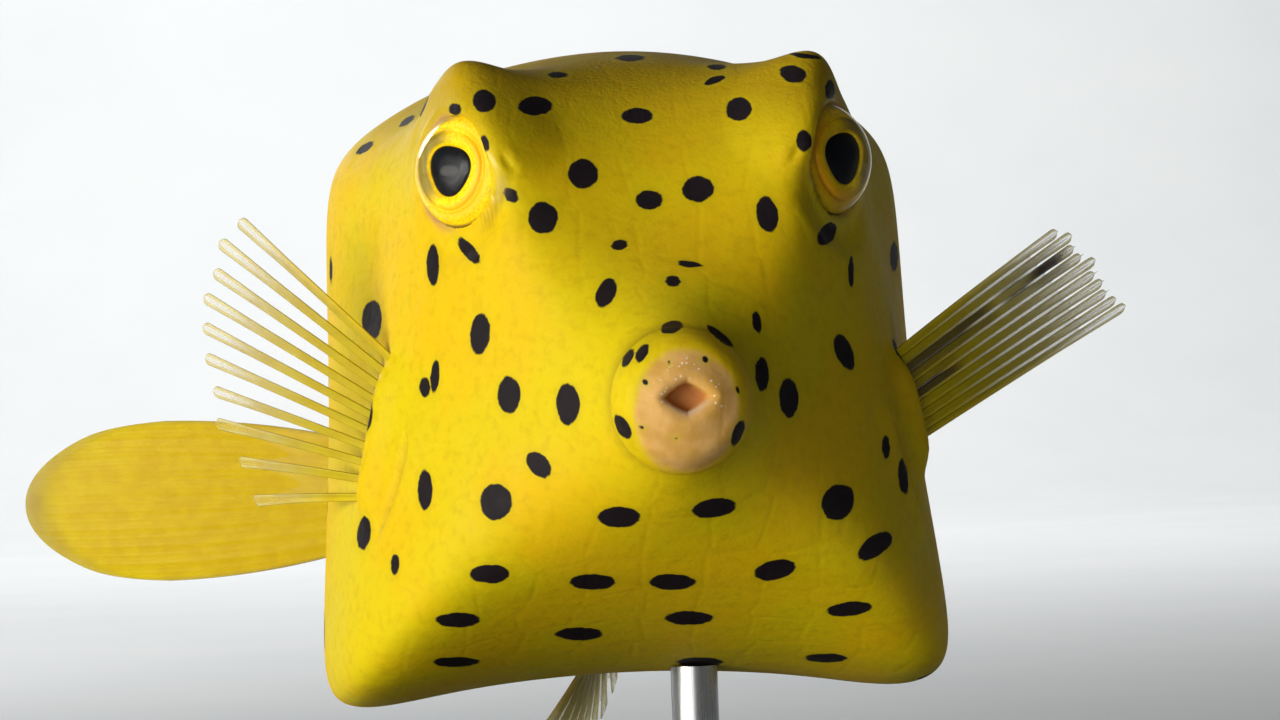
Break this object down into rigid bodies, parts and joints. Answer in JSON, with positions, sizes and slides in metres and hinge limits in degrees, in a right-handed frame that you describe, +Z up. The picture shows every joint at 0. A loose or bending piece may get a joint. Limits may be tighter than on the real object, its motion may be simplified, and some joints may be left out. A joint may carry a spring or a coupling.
{
  "type": "yellow boxfish on a display stand",
  "caption": "Still life-size young yellow boxfish, box-shaped body with black spots, spread fins and tail bent aside, held by a round base with one short rod.",
  "frame": {"origin": "middle of the stand base's underside, on the surface it stands on", "axes": "+Z up, -Y the way the fish faces, +X the fish's left side"},
  "size_m": [0.0525, 0.0521, 0.044],
  "materials": {
    "skin": "wet skin over a stiff shell",
    "lips": "soft wet skin",
    "eye": "clear and wet",
    "fin": "thin membrane over rays",
    "stand_rod": "drawn rod",
    "stand_base": "polished cast acrylic"
  },
  "bodies": {
    "root": {"lips": "lips", "snout": "skin", "head": "skin", "trunk": "skin", "tail": "skin", "eye_right": "eye", "eye_left": "eye", "pectoral_fin_right": "fin", "pectoral_fin_left": "fin", "dorsal_fin": "fin", "anal_fin": "fin", "caudal_fin": "fin", "stand_rod": "stand_rod", "stand_base": "stand_base"}
  },
  "joints": []
}
